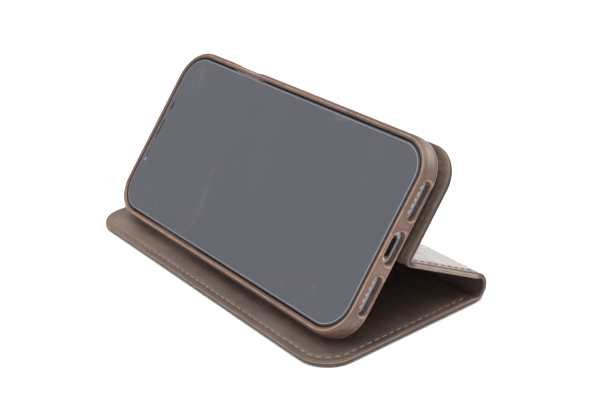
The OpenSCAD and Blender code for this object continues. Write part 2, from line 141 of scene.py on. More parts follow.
def strip(x, s, h):
    """Row-frame points of the strip: x across, s along it from the cover's free edge, h inwards."""
    x, s, h = np.broadcast_arrays(x, s, h)
    cover = s < COVER_L
    spine = (s >= COVER_L) & (s < SPINE_END)
    lower = (s >= SPINE_END) & (s < CREASE_FROM)
    crease = (s >= CREASE_FROM) & (s < CREASE_TO)
    round_spine = (s - COVER_L) / SPINE_R
    round_crease = LOWER_TURN - (s - CREASE_FROM) / CREASE_R
    parts = [cover, spine, lower, crease]
    turn = np.select(parts, [0 * s, round_spine, 0 * s + LOWER_TURN, round_crease], 0 * s + UPPER_TURN)
    before = np.array([CREASE[1] - CREASE_TRIM * math.cos(LOWER_TURN),
                       CREASE[2] - CREASE_TRIM * math.sin(LOWER_TURN)])
    centre = before + CREASE_R * np.array([math.sin(LOWER_TURN), -math.cos(LOWER_TURN)])
    y = np.select(parts, [
        FOLD_1[1] + s - COVER_L,
        FOLD_1[1] + SPINE_R * np.sin(turn),
        FOLD_END[1] + (s - SPINE_END) * math.cos(LOWER_TURN),
        centre[0] - CREASE_R * np.sin(turn)],
        CREASE[1] + (s - CREASE_TO + CREASE_TRIM) * math.cos(UPPER_TURN))
    z = np.select(parts, [
        0 * s,
        SPINE_R * (1 - np.cos(turn)),
        FOLD_END[2] + (s - SPINE_END) * math.sin(LOWER_TURN),
        centre[1] + CREASE_R * np.cos(turn)],
        CREASE[2] + (s - CREASE_TO + CREASE_TRIM) * math.sin(UPPER_TURN))
    return np.stack([x, y - h * np.sin(turn), z + h * np.cos(turn)], -1)


def smooth(a, b, t):
    """0 up to a, 1 from b, smooth between."""
    k = np.clip((t - a) / (b - a), 0, 1)
    return k * k * (3 - 2 * k)


# How much thinner the spine is, and its taper outside and inside its ends
SPINE_THIN = 0.75 * MM
TAPER_OUT = 2.5 * MM
TAPER_IN = 3 * MM


def thickness(s):
    """The strip is thinner round the spine, where it has no stiffener."""
    into = smooth(COVER_L - TAPER_OUT, COVER_L + TAPER_IN, s)
    out = 1 - smooth(SPINE_END - TAPER_IN, SPINE_END + TAPER_OUT, s)
    return PANEL_T - SPINE_THIN * into * out


def inset_of(x, s):
    """Distance from the strip's outline, and the outward direction there, in (x, s)."""
    a, r = PANEL_HALF, CORNER_R
    over_x = np.abs(x) - (a - r)
    over_s = np.maximum(r - s, s - (STRIP_L - r))
    corner = (over_x > 0) & (over_s > 0)
    far = np.hypot(over_x, over_s)
    inset = np.where(corner, r - far, np.minimum(a - np.abs(x), np.minimum(s, STRIP_L - s)))
    side = np.sign(x)
    end = np.where(s < STRIP_L / 2, -1.0, 1.0)
    on_side = (a - np.abs(x)) <= np.minimum(s, STRIP_L - s) + 1e-9
    out_x = np.where(corner, side * over_x / np.maximum(far, 1e-9), np.where(on_side, side, 0))
    out_s = np.where(corner, end * over_s / np.maximum(far, 1e-9), np.where(on_side, 0, end))
    return inset, out_x, out_s


def round_corners(x, s):
    """Bends the grid's square corners onto the outline's round ones."""
    a, r = PANEL_HALF, CORNER_R
    u = (np.abs(x) - (a - r)) / r
    for low in (True, False):
        v = (r - s) / r if low else (s - (STRIP_L - r)) / r
        corner = (u > 0) & (v > 0)
        uc, vc = np.clip(u, 0, 1), np.clip(v, 0, 1)
        new_u = uc * np.sqrt(1 - vc * vc / 2)
        new_v = vc * np.sqrt(1 - uc * uc / 2)
        x = np.where(corner, np.sign(x) * (a - r + new_u * r), x)
        new_s = r - new_v * r if low else STRIP_L - r + new_v * r
        s = np.where(corner, new_s, s)
    return x, s


EDGE_R = 0.5 * MM
GAP_SHARE = 0.71
SEAM_DEPTH = 0.2 * MM
SEAM_W = 0.55 * MM
# The leather outside the seam lies this deep, and rises over MARGIN_W inside it
MARGIN_DEPTH = 0.1 * MM
MARGIN_W = 2.2 * MM


def skin_depth(inset, seam):
    """How far the skin lies under the flat face: round at the edge, pressed in along the seam."""
    near = np.clip(EDGE_R - inset, 0, EDGE_R)
    rounding = EDGE_R - np.sqrt(EDGE_R ** 2 - near ** 2)
    groove = SEAM_DEPTH * np.exp(-((inset - STITCH_IN) / SEAM_W) ** 2)
    margin = MARGIN_DEPTH * (1 - smooth(STITCH_IN, STITCH_IN + MARGIN_W, inset))
    return rounding + seam * (groove + margin)


def creases(x, s):
    """Fine bending folds across the spine, as depths."""
    spine = smooth(COVER_L - 1 * MM, COVER_L + 3 * MM, s) * (1 - smooth(SPINE_END - 3 * MM, SPINE_END, s))
    wander = 0.9 * np.sin(x / (17 * MM)) + 0.5 * np.sin(x / (7 * MM))
    wave = np.sin((s - COVER_L) / (1.15 * MM) * 2.0 + wander)
    return 0.05 * MM * spine * (0.5 + 0.5 * wave)


def slit_depth(x, s):
    """Pocket slits in the cover's lining: a thin gap with a raised lip on the card's side."""
    depth = np.zeros_like(s)
    for k, half in enumerate(SLIT_HALVES):
        across = s - (COVER_L - SLIT_FIRST - k * SLIT_STEP)
        inside = 1 - smooth(half - SLIT_FADE, half + SLIT_FADE, np.abs(x))
        gap = SLIT_GAP[0] * np.exp(-(across / SLIT_GAP[1]) ** 2)
        lip = SLIT_LIP[0] * np.exp(-((across + SLIT_LIP[1]) / SLIT_LIP[2]) ** 2)
        depth += inside * (gap - lip)
    return depth


# Grid lines near the outline, in mm from it
EDGE_INSETS = [0, 0.06, 0.16, 0.32, 0.55, 0.9, 1.4, 1.9, 2.25, 2.6, 2.95, 3.3, 3.9, 4.8, 6.2, 8, 10.2, 13]
# Share of the seam's hollow that the spine has, and how far past it a spine skin may reach
SPINE_SEAM = 0.35
NEAR_SPINE = 4 * MM
# Rows across the cut edge from the outer face, as (share of the thickness, bulge in mm)
EDGE_ROWS = ((0.12, 0.1), (0.3, 0.16), (0.5, 0.15), (0.65, 0.05), (GAP_SHARE, -0.14), (0.77, 0.03),
             (0.86, 0.1), (0.95, 0.05), (1.0, 0.0))


def across_lines(step=4.0):
    """Grid lines along x, close together at both ends."""
    inner = PANEL_HALF / MM - EDGE_INSETS[-1]
    count = int(round(2 * inner / step))
    middle = np.linspace(-inner, inner, count + 1)
    ends = PANEL_HALF / MM - np.array(EDGE_INSETS[:-1])
    return np.concatenate([-ends, middle, ends[::-1]]) * MM


def even_lines(start, end, step):
    """Evenly spaced lines from start to end, about step mm apart."""
    count = max(2, int(round((end - start) / (step * MM))))
    return list(np.linspace(start, end, count + 1))


def make_mesh(name, verts, faces, materials, indices=None, attributes=None, uvs=None):
    """A smooth-shaded mesh object in the row frame."""
    mesh = bpy.data.meshes.new(name)
    mesh.from_pydata([tuple(v) for v in verts], [], faces)
    for m in materials:
        mesh.materials.append(m)
    if indices is not None:
        mesh.polygons.foreach_set("material_index", np.asarray(indices, np.int32))
    for key, values in (attributes or {}).items():
        mesh.attributes.new(key, "FLOAT", "POINT").data.foreach_set("value", np.asarray(values, np.float32))
    if uvs is not None:
        layer = mesh.uv_layers.new(name="UVMap")
        loops = np.zeros(len(mesh.loops), np.int32)
        mesh.loops.foreach_get("vertex_index", loops)
        layer.data.foreach_set("uv", np.asarray(uvs, np.float32)[loops].ravel())
    mesh.polygons.foreach_set("use_smooth", [True] * len(mesh.polygons))
    mesh.update()
    obj = bpy.data.objects.new(name, mesh)
    bpy.context.scene.collection.objects.link(obj)
    return obj


def skin(name, s_lines, slits=False):
    """A stretch of the strip, both faces and its cut edge, between the first and last s line."""
    xs, ss = np.meshgrid(across_lines(), np.array(s_lines), indexing="ij")
    xs, ss = round_corners(xs, ss)
    inset, out_x, out_s = inset_of(xs, ss)
    on_spine = s_lines[0] >= COVER_L - NEAR_SPINE and s_lines[-1] <= SPINE_END + NEAR_SPINE
    seam = SPINE_SEAM if on_spine else 1.0
    t = thickness(ss)
    outer = skin_depth(inset, seam) + creases(xs, ss)
    inner = skin_depth(inset, seam) + 0.7 * creases(xs, ss + 0.4 * MM)
    if slits:
        inner = inner + slit_depth(xs, ss)
    n_x, n_s = xs.shape
    grid = np.arange(n_x * n_s).reshape(n_x, n_s)
    verts = [strip(xs, ss, outer).reshape(-1, 3), strip(xs, ss, t - inner).reshape(-1, 3)]
    uv = [np.stack([xs.ravel(), ss.ravel()], -1)] * 2
    edge_tint = [inset.ravel()] * 2
    faces, kinds = [], []

    def quad(a, b, c, d, kind):
        faces.append((int(a), int(b), int(c), int(d)))
        kinds.append(kind)

    top = grid + n_x * n_s
    for i in range(n_x - 1):
        for j in range(n_s - 1):
            quad(grid[i, j], grid[i, j + 1], grid[i + 1, j + 1], grid[i + 1, j], 0)
            quad(top[i, j], top[i + 1, j], top[i + 1, j + 1], top[i, j + 1], 1)
    # the cut edge: outer leather, a fine gap, then the lining, along the outline only
    sides = [[(0, j) for j in range(n_s)], [(n_x - 1, j) for j in range(n_s - 1, -1, -1)]]
    if s_lines[0] <= 0:
        sides = [sides[0][::-1] + [(i, 0) for i in range(1, n_x - 1)] + sides[1][::-1]]
        turned = [False]
    elif s_lines[-1] >= STRIP_L - 1e-9:
        sides = [sides[0] + [(i, n_s - 1) for i in range(1, n_x - 1)] + sides[1]]
        turned = [True]
    else:
        turned = [True, False]
    next_index = 2 * n_x * n_s
    for turn, loop in zip(turned, sides):
        ii, jj = np.array(loop).T
        bottom = outer[ii, jj]
        high = t[ii, jj] - inner[ii, jj]
        last = grid[ii, jj]
        for share, bulge in EDGE_ROWS:
            if share < 1:
                px = xs[ii, jj] + out_x[ii, jj] * bulge * MM
                ps = ss[ii, jj] + out_s[ii, jj] * bulge * MM
                h = bottom + (high - bottom) * share
                verts.append(strip(px, ps, h))
                uv.append(np.stack([px + out_x[ii, jj] * h, ps + out_s[ii, jj] * h], -1))
                edge_tint.append(np.full(len(ii), -1000 * share * MM))
                this = np.arange(next_index, next_index + len(ii))
                next_index += len(ii)
            else:
                this = top[ii, jj]
            for k in range(len(ii) - 1):
                order = (last[k], this[k], this[k + 1], last[k + 1])
                quad(*(order[::-1] if turn else order), 2)
            last = this
    return make_mesh(name, np.concatenate(verts), faces, PANEL_LOOK, kinds,
                     {"inset": np.concatenate(edge_tint)}, np.concatenate(uv))


# ---- materials ----

class Nodes:
    """Short calls for building a material's node tree."""

    def __init__(self, name):
        self.material = bpy.data.materials.new(name)
        self.material.use_nodes = True
        self.tree = self.material.node_tree
        self.shader = self.tree.nodes["Principled BSDF"]

    def add(self, kind, inputs=(), **settings):
        node = self.tree.nodes.new(kind)
        for key, value in settings.items():
            setattr(node, key, value)
        for key, value in dict(inputs).items():
            self.set(node.inputs[key], value)
        return node

    def set(self, socket, value):
        if isinstance(value, bpy.types.NodeSocket):
            self.tree.links.new(value, socket)
        else:
            socket.default_value = value

    def shade(self, **values):
        for key, value in values.items():
            self.set(self.shader.inputs[key.replace("_", " ")], value)

    def uv(self):
        return self.add("ShaderNodeTexCoord").outputs["UV"]

    def place(self):
        return self.add("ShaderNodeTexCoord").outputs["Object"]

    def noise(self, where, scale, detail=4.0, rough=0.6, distortion=0.0):
        return self.add("ShaderNodeTexNoise", {"Vector": where, "Scale": scale, "Detail": detail,
                                               "Roughness": rough, "Distortion": distortion}).outputs["Fac"]

    def ramp(self, value, low, high, out_low=0.0, out_high=1.0):
        return self.add("ShaderNodeMapRange", {"Value": value, "From Min": low, "From Max": high,
                                               "To Min": out_low, "To Max": out_high}).outputs["Result"]

    def mix(self, share, one, other):
        inputs = {"Factor": share, "A": one, "B": other}
        return self.add("ShaderNodeMix", inputs, data_type="RGBA").outputs["Result"]

    def stretch(self, where, scale, turn=(0.0, 0.0, 0.0)):
        inputs = {"Vector": where, "Scale": scale, "Rotation": turn}
        return self.add("ShaderNodeMapping", inputs).outputs["Vector"]

    def math(self, operation, one, other=0.0):
        return self.add("ShaderNodeMath", {0: one, 1: other}, operation=operation).outputs[0]

    def attribute(self, name):
        return self.add("ShaderNodeAttribute", attribute_name=name).outputs["Fac"]

    def bump(self, height, strength, distance, normal=None):
        node = self.add("ShaderNodeBump", {"Height": height, "Strength": strength, "Distance": distance})
        if normal is not None:
            self.set(node.inputs["Normal"], normal)
        return node.outputs["Normal"]


def rgba(r, g, b):
    """An sRGB colour of 0 to 255 as linear RGBA."""
    def linear(c):
        c /= 255
        return c / 12.92 if c <= 0.04045 else ((c + 0.055) / 1.055) ** 2.4
    return (linear(r), linear(g), linear(b), 1.0)


def leather(name, light, mid, dark, roughness, grain, edge_tint, wax):
    """Waxed leather: pebble grain, cloudy and streaky colour, and hair creases.

    The edge colour, its width in mm and its strength come as one argument: edge wear on the panels, and on
    the tray painted highlight with some edge wear.
    """
    n = Nodes(name)
    where = n.uv()
    cells = n.add("ShaderNodeTexVoronoi", {"Vector": where, "Scale": 1250.0 / grain, "Randomness": 1.0},
                  feature="DISTANCE_TO_EDGE")
    bent = n.noise(where, 420.0 / grain, 3.0, 0.6)
    cloud = n.noise(where, 38.0, 6.0, 0.66, 0.8)
    patch = n.noise(where, 13.0, 3.0, 0.55, 0.5)
    streak = n.noise(n.stretch(where, (60.0, 260.0, 260.0)), 1.0, 5.0, 0.65, 1.4)
    fine = n.noise(where, 1500.0, 3.0, 0.7)
    colour = n.mix(n.ramp(cloud, 0.3, 0.66), dark, mid)
    colour = n.mix(n.ramp(patch, 0.42, 0.72, 0.0, 0.7), colour, light)
    colour = n.mix(n.ramp(streak, 0.5, 0.75, 0.0, 0.45), colour, light)
    colour = n.mix(n.ramp(streak, 0.5, 0.25, 0.0, 0.5), colour, dark)
    colour = n.mix(n.ramp(fine, 0.4, 0.75, 0.0, 0.3), colour, light)
    pores = n.ramp(cells.outputs["Distance"], 0.0, 0.16)
    colour = n.mix(n.math("MULTIPLY", n.math("SUBTRACT", 1.0, pores), 0.4), colour, dark)
    # Colour along the edges: wear, and on the tray also a painted highlight.
    edge_colour, width, strength = edge_tint
    from_edge = n.attribute("inset")
    edge = n.ramp(from_edge, 0.0, width * MM, 1.0, 0.0)
    ragged = n.math("MULTIPLY", edge, n.ramp(n.noise(where, 260.0, 4.0, 0.7), 0.3, 0.7, 0.3, 1.0))
    colour = n.mix(n.math("MULTIPLY", ragged, strength), colour, edge_colour)
    rough = n.ramp(streak, 0.3, 0.7, roughness + 0.09, roughness - 0.07)
    height = n.math("MULTIPLY", pores, n.ramp(bent, 0.3, 0.7, 0.6, 1.0))
    normal = n.bump(height, 0.4, 0.00014)
    normal = n.bump(streak, 0.3, 0.0003, normal)
    normal = n.bump(n.noise(where, 90.0, 4.0, 0.55), 0.4, 0.0006, normal)
    n.shade(Base_Color=colour, Roughness=rough, Normal=normal, Coat_Roughness=0.3,
            Specular_IOR_Level=n.ramp(from_edge, 0.3 * MM, 1.4 * MM, 0.2, 0.5),
            Coat_Weight=n.ramp(from_edge, 0.5 * MM, 1.6 * MM, 0.0, wax))
    return n.material


def cut_edge(name, paints_lit_and_shaded, pale, gap):
    """Painted edge of two layers, each stretch of the strip with its own colour: lit and shaded copies of
    one paint, as painted light and shade.

    The share down the edge is in the inset attribute, below zero.
    """
    n = Nodes(name)
    where = n.uv()
    along = n.add("ShaderNodeSeparateXYZ", {"Vector": where}).outputs["Y"]
    share = n.attribute("inset")
    line = n.ramp(n.math("ABSOLUTE", n.math("ADD", share, GAP_SHARE)), 0.02, 0.08, 1.0, 0.0)
    colour = paints_lit_and_shaded[0]
    # Painted light and shade: each stretch gets its own copy of the edge paint.
    for paint, start in zip(paints_lit_and_shaded[1:], (COVER_L, SPINE_END, CREASE_FROM - 3 * MM)):
        colour = n.mix(n.ramp(along, start, start + 3 * MM), colour, paint)
    cloudy = n.ramp(n.noise(where, 130.0, 5.0), 0.3, 0.7, 0.0, 0.5)
    colour = n.mix(cloudy, colour, gap)
    lining = n.math("MULTIPLY", n.ramp(share, -0.8, -0.88, 0.0, 1.0),
                    n.ramp(along, CREASE_FROM - 3 * MM, CREASE_FROM, 1.0, 0.15))
    patchy = n.ramp(n.noise(where, 70.0, 4.0), 0.3, 0.6, 0.25, 0.8)
    colour = n.mix(n.math("MULTIPLY", lining, patchy), colour, pale)
    colour = n.mix(line, colour, gap)
    normal = n.bump(n.noise(where, 600.0, 4.0), 0.5, 0.00015)
    n.shade(Base_Color=colour, Roughness=0.5, Normal=normal, Specular_IOR_Level=0.35)
    return n.material


def thread_material(name, base, shade):
    """Twisted thread, darker between its turns."""
    n = Nodes(name)
    where = n.place()
    twist = n.add("ShaderNodeTexWave", {"Vector": where, "Scale": 900.0, "Distortion": 1.5})
    colour = n.mix(n.ramp(twist.outputs["Fac"], 0.2, 0.8), shade, base)
    n.shade(Base_Color=colour, Roughness=0.62, Normal=n.bump(twist.outputs["Fac"], 0.5, 0.0001))
    return n.material


def metal(name, colour, roughness, brushed):
    """Metal with fine streaks along x."""
    n = Nodes(name)
    streak = n.noise(n.stretch(n.place(), (40.0, 900.0, 900.0)), 1.0, 3.0)
    darker = tuple(c * 0.86 for c in colour[:3]) + (1.0,)
    n.shade(Base_Color=n.mix(n.ramp(streak, 0.3, 0.7), colour, darker),
            Roughness=n.ramp(streak, 0.3, 0.7, roughness - brushed, roughness + brushed + 0.02),
            Metallic=1.0, Normal=n.bump(streak, 0.08, 0.0001))
    return n.material


def frame_metal(name, side, front):
    """The handset's steel side, with painted shade darkening its lip where it meets the front glass."""
    n = Nodes(name)
    where = n.place()
    height = n.add("ShaderNodeVectorMath", {0: where, 1: tuple(SCREEN_OUT)}, operation="DOT_PRODUCT")
    # Painted shade: from 1.7 mm to 1.1 mm below the rim's height the steel turns to the dark front colour.
    share = n.ramp(height.outputs["Value"], RIM_W - 1.7 * MM, RIM_W - 1.1 * MM)
    streak = n.noise(n.stretch(where, (900.0, 900.0, 900.0)), 1.0, 3.0)
    n.shade(Base_Color=n.mix(share, side, front), Metallic=n.ramp(share, 0.0, 1.0, 0.3, 0.2),
            Roughness=n.ramp(streak, 0.3, 0.7, 0.28, 0.4), Normal=n.bump(streak, 0.06, 0.0001))
    return n.material


def plastic(name, colour, roughness, mottle=0.15):
    """A plain colour, finely mottled."""
    n = Nodes(name)
    where = n.place()
    spots = n.noise(where, 800.0, 3.0)
    n.shade(Base_Color=n.mix(n.ramp(spots, 0.3, 0.7, 0.0, mottle), colour, (0.5, 0.5, 0.5, 1.0)),
            Roughness=n.ramp(spots, 0.3, 0.7, roughness - 0.05, roughness + 0.08),
            Normal=n.bump(spots, 0.15, 0.00008))
    return n.material


def screen_glass(name):
    """Black glass with its grey sheen painted into the colour as a painted reflection, and faint smears and
    specks of dust.
    """
    n = Nodes(name)
    where = n.place()
    smear = n.noise(n.stretch(where, (30.0, 14.0, 14.0), (0.3, 0.2, 0.6)), 1.0, 5.0, 0.65, 1.2)
    dust = n.add("ShaderNodeTexVoronoi", {"Vector": where, "Scale": 150.0}).outputs["Distance"]
    speck = n.ramp(dust, 0.0, 0.035, 1.0, 0.0)
    grease = n.ramp(smear, 0.58, 0.78, 0.0, 1.0)
    # The grey base colour is a painted reflection on the black glass; the smears lighten it further.
    colour = n.mix(n.math("MULTIPLY", grease, 0.3), rgba(66, 67, 72), rgba(120, 120, 128))
    colour = n.mix(n.math("MULTIPLY", speck, 0.25), colour, rgba(190, 190, 195))
    n.shade(Base_Color=colour, Roughness=n.ramp(smear, 0.3, 0.8, 0.16, 0.34), Specular_IOR_Level=0.5)
    return n.material


DARK_WEAR = (rgba(62, 48, 40), 1.3, 0.8)
FAINT_WEAR = (rgba(160, 138, 122), 0.7, 0.2)
# The tray's pale edges along the rim, the rear ridge and the cut-outs: painted highlight where light
# catches them, with some edge wear.
PALE_WEAR_AND_HIGHLIGHT = (rgba(196, 170, 152), 0.7, 0.7)
OUTER_LEATHER = leather("outer_leather", rgba(138, 114, 98), rgba(104, 82, 68), rgba(74, 56, 46),
                        roughness=0.3, grain=1.0, edge_tint=DARK_WEAR, wax=0.5)
LINING_LEATHER = leather("lining_leather", rgba(122, 101, 88), rgba(84, 68, 61), rgba(58, 47, 46),
                         roughness=0.36, grain=0.8, edge_tint=FAINT_WEAR, wax=0.2)
TRAY_LEATHER = leather("tray_leather_skin", rgba(116, 82, 65), rgba(78, 56, 45), rgba(50, 34, 28),
                       roughness=0.34, grain=0.8, edge_tint=PALE_WEAR_AND_HIGHLIGHT, wax=0.3)
# Edge colours of the cover, the spine, the lower and the upper back panel: lit and shaded copies of one
# paint, painted lightest on the lower back and darkest on the spine
EDGE_PAINTS_LIT_AND_SHADED = (rgba(80, 66, 50), rgba(58, 44, 36), rgba(152, 130, 114), rgba(66, 51, 42))
EDGE_PAINT = cut_edge("edge_paint", EDGE_PAINTS_LIT_AND_SHADED, pale=rgba(200, 176, 152), gap=rgba(34, 26, 24))
THREAD_IN = thread_material("thread_inner", rgba(142, 124, 106), rgba(100, 83, 69))
THREAD_DULL = thread_material("thread_dull", rgba(92, 76, 64), rgba(66, 53, 46))
THREAD_OUT = thread_material("thread_outer", rgba(70, 54, 46), rgba(38, 28, 24))
GLASS_PAINTED_REFLECTION = screen_glass("screen_glass")
# The rolled edge of the front glass in light grey: a painted highlight.
GLASS_EDGE_HIGHLIGHT = plastic("glass_edge", rgba(104, 106, 114), 0.4, 0.1)
SENSOR_LENS = plastic("sensor_lens", rgba(104, 106, 128), 0.45, 0.3)
STEEL = metal("steel_polished", rgba(196, 192, 190), 0.3, 0.05)
# Steel side, with painted shade on its lip next to the glass.
FRAME_STEEL_SHADED_LIP = frame_metal("frame_steel", rgba(190, 184, 182), rgba(60, 60, 64))
STEEL_KEYS = metal("steel_keys", rgba(206, 202, 200), 0.18, 0.03)
DARK = plastic("dark_inside", rgba(22, 22, 24), 0.5)
PLASTIC = plastic("tray_moulding", rgba(58, 44, 38), 0.5)
MICROFIBRE = plastic("microfibre", rgba(70, 56, 50), 0.9, 0.3)
BACK_GLASS = plastic("back_glass", rgba(214, 214, 216), 0.12, 0.05)
LENS = plastic("lens", rgba(10, 12, 18), 0.06, 0.02)
FLASH = plastic("flash", rgba(226, 216, 180), 0.35, 0.1)
BOARD = plastic("board", rgba(128, 108, 86), 0.85, 0.3)
GLUE = plastic("glue", rgba(206, 202, 192), 0.6)

NODE_MATERIALS = {
    "cover_board": BOARD, "lower_back_board": BOARD, "upper_back_board": BOARD,
    "cover_pocket_liner": MICROFIBRE, "cover_magnets": STEEL, "tray_glue_pad": GLUE,
    "tray": PLASTIC, "tray_pad": MICROFIBRE,
    "phone_frame": FRAME_STEEL_SHADED_LIP, "phone_display": DARK, "phone_core": DARK, "phone_back_glass": BACK_GLASS,
    "earpiece_grille": DARK, "front_sensors": DARK, "charge_port": STEEL_KEYS, "bottom_speakers": DARK,
    "end_screws": STEEL_KEYS, "camera_housing": STEEL, "camera_lenses": LENS, "camera_flash": FLASH,
    "side_button": STEEL_KEYS, "volume_up_button": STEEL_KEYS, "volume_down_button": STEEL_KEYS,
    "ring_switch": STEEL_KEYS,
}


def finish_nodes():
    """Gives each CAD node that stays its material."""
    for node, material in NODE_MATERIALS.items():
        mesh = frame["nodes"][node].data
        mesh.materials.clear()
        mesh.materials.append(material)


# ---- leather panels ----

def fold_angles():
    """Angles round the spine of its folds, first to last."""
    places = [JOINTS[name]["pos_m"] for name in ("cover_fold", "spine_fold_2", "spine_fold_3")]
    return [math.atan2(p[1] - FOLD_1[1], SPINE_R - p[2]) for p in places]


def at(s):
    """The point on the strip's outer face at s, on its middle line."""
    return tuple(strip(np.array(0.0), np.array(s), np.array(0.0)))


PANEL_LOOK = [OUTER_LEATHER, LINING_LEATHER, EDGE_PAINT]
# How far the skins over the spine and the crease reach into the panels beside them
FOLD_MARGIN = 3 * MM
# Grid lines across a slit, in mm from its middle
SLIT_LINES = (-2.2, -1.6, -1.0, -0.6, -0.35, -0.2, 0, 0.2, 0.35, 0.8)


def build_leather():
    """The whole strip: the panels follow their bodies, and the skins over each fold stay where they are
    built.
    """
    folds = fold_angles()
    middles = [(a + b) / 2 for a, b in zip(folds, folds[1:])]
    cover_end = COVER_L - FOLD_MARGIN
    lower_start, lower_end = SPINE_END + FOLD_MARGIN, CREASE_FROM - FOLD_MARGIN
    upper_start = CREASE_TO + FOLD_MARGIN

    ends = [x * MM for x in EDGE_INSETS]
    slit_lines = [COVER_L - SLIT_FIRST - k * SLIT_STEP + d * MM
                  for k in range(len(SLIT_HALVES)) for d in SLIT_LINES]
    rest = [s for s in even_lines(ends[-1], cover_end, 3.0)[1:]
            if all(abs(s - t) > 0.9 * MM for t in slit_lines) or s > cover_end - 1e-9]
    cover_lines = sorted(ends + rest + [s for s in slit_lines if s > ends[-1]])
    cover = skin("cover_skin", cover_lines, slits=True)
    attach(cover, "cover")
    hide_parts("cover_leather", "cover_lining")

    stops = [cover_end] + [arc_at(a) for a in middles] + [lower_start]
    for k in range(3):
        a, b = stops[k], stops[k + 1]
        piece = skin(f"spine_skin_{k + 1}", even_lines(a, b, 0.35))
        keep = 0.2 * (b - a)
        at(a + keep)
        at(b - keep)
        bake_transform(piece)
        if k < 2:
            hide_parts(f"spine_leather_{k + 1}", f"spine_lining_{k + 1}")

    lower = skin("lower_back_skin", even_lines(lower_start, lower_end, 2.0))
    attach(lower, "lower_back")
    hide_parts("lower_back_leather", "lower_back_lining")

    crease_lines = (even_lines(lower_end, CREASE_FROM, 0.3)[:-1] + even_lines(CREASE_FROM, CREASE_TO, 0.06)
                    + even_lines(CREASE_TO, upper_start, 0.3)[1:])
    crease = skin("crease_skin", crease_lines)
    at(lower_end)
    at(upper_start)
    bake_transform(crease)

    upper_lines = (even_lines(upper_start, STRIP_L - ends[-1], 2.5)[:-1]
                   + [STRIP_L - d for d in reversed(ends)])
    upper = skin("upper_back_skin", upper_lines)
    cut_camera_window(upper)
    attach(upper, "upper_back")
    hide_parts("upper_back_leather", "upper_back_lining")


def stadium(half, radius, steps=14):
    """Outline of a slot with round ends about the origin, half its straight part's length."""
    turns = np.linspace(-math.pi / 2, math.pi / 2, steps)
    right = [(half + radius * math.cos(t), radius * math.sin(t)) for t in turns]
    left = [(-x, -y) for x, y in right]
    return np.array(right + left)


CAMERA_LOW, CAMERA_HIGH = screen_extent("camera_housing")[:2]
CAMERA_V = (CAMERA_LOW + CAMERA_HIGH) / 2
CAMERA_X = sum(c.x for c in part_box("camera_housing")) / 2
CAMERA_WINDOW = (31 * MM, 15 * MM)
# Heights from the rim that the camera's slot is cut between, past both faces of the panel
WINDOW_CUT = (-16 * MM, -6 * MM)


def cut_camera_window(panel):
    """Cuts the camera's slot through a panel, its wall finished as the cut edge."""
    length, width = CAMERA_WINDOW
    outline = stadium((length - width) / 2, width / 2, 24)
    count = len(outline)
    ring = [on_screen(outline[:, 0] + CAMERA_X, outline[:, 1] + CAMERA_V, w) for w in WINDOW_CUT]
    faces = [(k, (k + 1) % count, count + (k + 1) % count, count + k) for k in range(count)]
    faces += [tuple(range(count))[::-1], tuple(range(count, 2 * count))]
    cutter = make_mesh("camera_cutter", np.concatenate(ring), faces, PANEL_LOOK, [2] * len(faces))
    cutter.data.polygons.foreach_set("use_smooth", [False] * len(faces))
    boolean = panel.modifiers.new("window", "BOOLEAN")
    boolean.object = cutter
    boolean.operation = "DIFFERENCE"
    boolean.solver = "EXACT"
    bpy.context.view_layer.update()
    cut = bpy.data.meshes.new_from_object(panel.evaluated_get(bpy.context.evaluated_depsgraph_get()))
    panel.modifiers.clear()
    panel.data = cut
    bpy.data.objects.remove(cutter)


# ---- stitching ----

def run_points(a, b, r, start, way):
    """Evenly spaced (x, s, direction) along a seam round a flap: two sides, two corners, one end.

    The sides leave from s = start, towards greater s if way is 1 and smaller s if way is -1.
    """
    side = b - r
    turn = math.pi / 2 * r
    total = 2 * side + 2 * turn + 2 * (a - r)
    count = int(total // STITCH_PITCH)
    out = []
    for k in range(count):
        d = (k + 0.5) * total / count
        for sign, d2 in ((1, d), (-1, total - d)):
            if d2 > total / 2:
                continue
            if d2 < side:
                out.append((sign * a, start + way * d2, math.pi / 2))
            elif d2 < side + turn:
                t = (d2 - side) / r
                out.append((sign * (a - r + r * math.cos(t)), start + way * (side + r * math.sin(t)),
                            math.pi / 2 + way * sign * t))
            else:
                out.append((sign * (a - r - (d2 - side - turn)), start + way * b, 0.0))
    return out


# Half a stitch's length, the thread's radius, and how far a stitch's ends are pulled in
STITCH_HALF = 0.4 * STITCH_PITCH
THREAD_R = 0.27 * MM
THREAD_SINK = 0.42 * MM


def thread(name, seam, body, node, inner_thread):
    """Stitches as short rounded threads, lying in the seam on both faces, their ends pulled in."""
    rings, sides = 9, 8
    verts, faces, kinds = [], [], []
    for x, s, turn in seam:
        for outer in (True, False):
            base = len(verts)
            kind = 0 if outer else 1
            for i in range(rings):
                u = -1 + 2 * i / (rings - 1)
                r = THREAD_R * math.sqrt(max(0.02, 1 - abs(u) ** 5))
                sink = THREAD_SINK * abs(u) ** 4
                for k in range(sides):
                    angle = 2 * math.pi * k / sides
                    off, up = r * math.cos(angle), r * math.sin(angle)
                    dx = u * STITCH_HALF * math.cos(turn) - off * math.sin(turn)
                    ds = u * STITCH_HALF * math.sin(turn) + off * math.cos(turn)
                    depth = SEAM_DEPTH + 0.02 * MM + sink - up
                    h = depth if outer else PANEL_T - depth
                    verts.append((x + dx, s + ds, h))
            for i in range(rings - 1):
                for k in range(sides):
                    a, b = base + i * sides + k, base + i * sides + (k + 1) % sides
                    faces.append((a, b, b + sides, a + sides))
                    kinds.append(kind)
            for first in (base, base + (rings - 1) * sides):
                faces.append(tuple(range(first, first + sides)))
                kinds.append(kind)
    piece = make_mesh(name, strip(*np.array(verts).T), faces, [THREAD_OUT, inner_thread], kinds)
    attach(piece, body)
    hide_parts(node)


